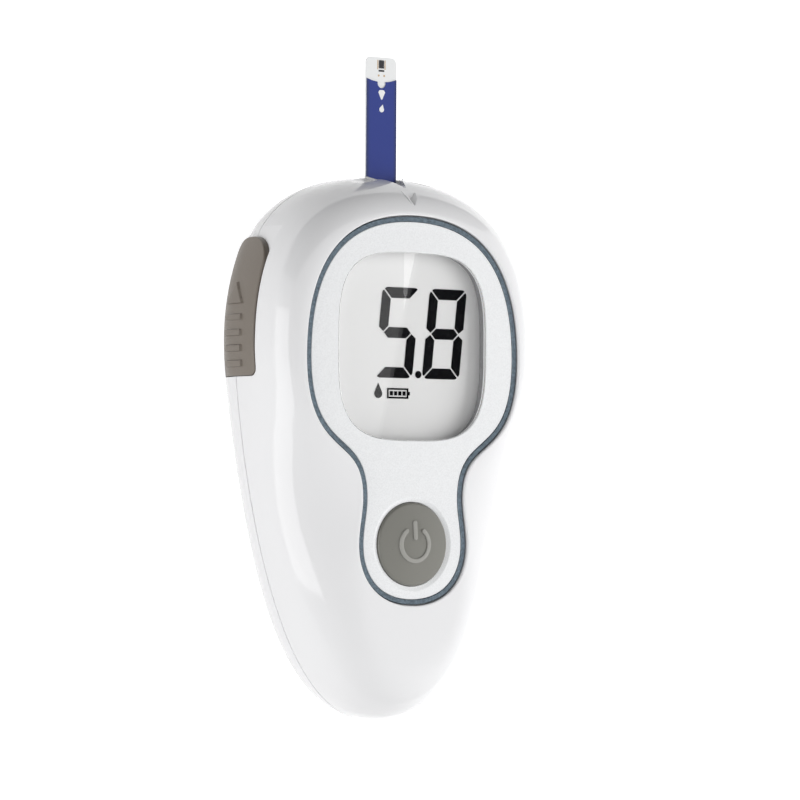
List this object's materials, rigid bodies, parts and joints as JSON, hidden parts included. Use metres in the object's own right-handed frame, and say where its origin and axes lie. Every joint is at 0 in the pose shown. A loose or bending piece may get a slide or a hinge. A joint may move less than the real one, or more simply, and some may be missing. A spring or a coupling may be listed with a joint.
{
  "type": "blood glucose meter",
  "caption": "Egg-shaped hand-held blood glucose meter with a display in a keyhole-shaped face panel, a round button, a side slider and a test strip in its port.",
  "frame": {"origin": "middle of the flat back that the meter lies on", "axes": "+X to the user's right, +Y toward the strip port, +Z out of the display"},
  "size_m": [0.0543, 0.1092, 0.023],
  "materials": {
    "shell_white": "polished injection-moulded ABS, bright white",
    "panel_white": "white print with a fine pearl grain under a clear satin film",
    "band_metal": "blue-grey brushed metal trim",
    "window_clear": "clear polished acrylic",
    "gasket_foam": "closed-cell foam",
    "lcd_grey": "light grey reflective liquid crystal cell",
    "lcd_black": "dark switched-on segments",
    "inner_ivory": "plain moulded inner parts",
    "inner_grey": "acetal, plain",
    "zebra_rubber": "striped conductive silicone",
    "board_green": "green solder mask on glass-fibre board",
    "chip_black": "black moulded chip package",
    "resistor_black": "dark film on ceramic",
    "capacitor_tan": "tan ceramic",
    "buzzer_black": "black moulded case",
    "switch_black": "dark moulded switch body",
    "switch_red": "brown plunger",
    "button_grey": "satin olive-grey moulded cap",
    "symbol_light": "raised pale symbol",
    "contact_gold": "gold-plated spring contacts",
    "strip_white": "white polyester strip base",
    "strip_blue": "blue printed cover film",
    "strip_dark": "dark reaction window",
    "slider_taupe": "satin warm-grey thumb plate",
    "bright_metal": "nickel-plated spring steel",
    "cell_steel": "plated steel coin cell",
    "screw_steel": "zinc-plated screws"
  },
  "bodies": {
    "meter": {"front_shell": "shell_white", "back_shell": "shell_white", "face_panel": "panel_white", "panel_band": "band_metal", "display_window": "window_clear", "display_gasket": "gasket_foam", "lcd_cell": "lcd_grey", "lcd_segments": "lcd_black", "lcd_frame": "inner_ivory", "zebra_connectors": "zebra_rubber", "circuit_board": "board_green", "processor_chip": "chip_black", "memory_chip": "chip_black", "crystal_can": "bright_metal", "chip_resistors": "resistor_black", "chip_capacitors": "capacitor_tan", "buzzer": "buzzer_black", "switch_base": "switch_black", "strip_connector": "inner_ivory", "strip_contacts": "contact_gold", "ejector_guide": "inner_ivory", "ejector_spring": "bright_metal", "battery_cell": "cell_steel", "battery_plus_contact": "bright_metal", "battery_minus_contact": "bright_metal", "shell_screws": "screw_steel", "board_screws": "screw_steel"},
    "button": {"mode_button": "button_grey", "button_symbol": "symbol_light", "switch_plunger": "switch_red"},
    "slider": {"thumb_slider": "slider_taupe"},
    "ejector": {"ejector_carriage": "inner_grey"},
    "strip": {"strip_base": "strip_white", "strip_film": "strip_blue", "strip_window": "strip_dark"},
    "cover": {"battery_cover": "shell_white"}
  },
  "joints": [
    {"name": "button_press", "type": "slide", "parent": "meter", "child": "button", "axis": [0, 0, -1], "range_m": [0, 0.0004], "stiffness_N_per_m": 800},
    {"name": "slider_push", "type": "hinge", "parent": "meter", "child": "slider", "pos_m": [0.01353, 0.01755, 0.01], "axis": [0, 0, -1], "range_deg": [0, 8.6], "stiffness_Nm_per_rad": 0.2},
    {"name": "ejector_slide", "type": "slide", "parent": "meter", "child": "ejector", "axis": [0, 1, 0], "range_m": [0, 0.00495]},
    {"name": "strip_slide", "type": "slide", "parent": "meter", "child": "strip", "axis": [0, 1, 0], "range_m": [0, 0.00495]},
    {"name": "cover_turn", "type": "hinge", "parent": "meter", "child": "cover", "pos_m": [0, 0.0135, 0.001], "axis": [0, 0, -1], "range_deg": [0, 45]}
  ],
  "couplings": [
    {"joint": "ejector_slide", "follows": "slider_push", "m_per_rad": 0.03271},
    {"joint": "strip_slide", "follows": "slider_push", "m_per_rad": 0.03271}
  ]
}
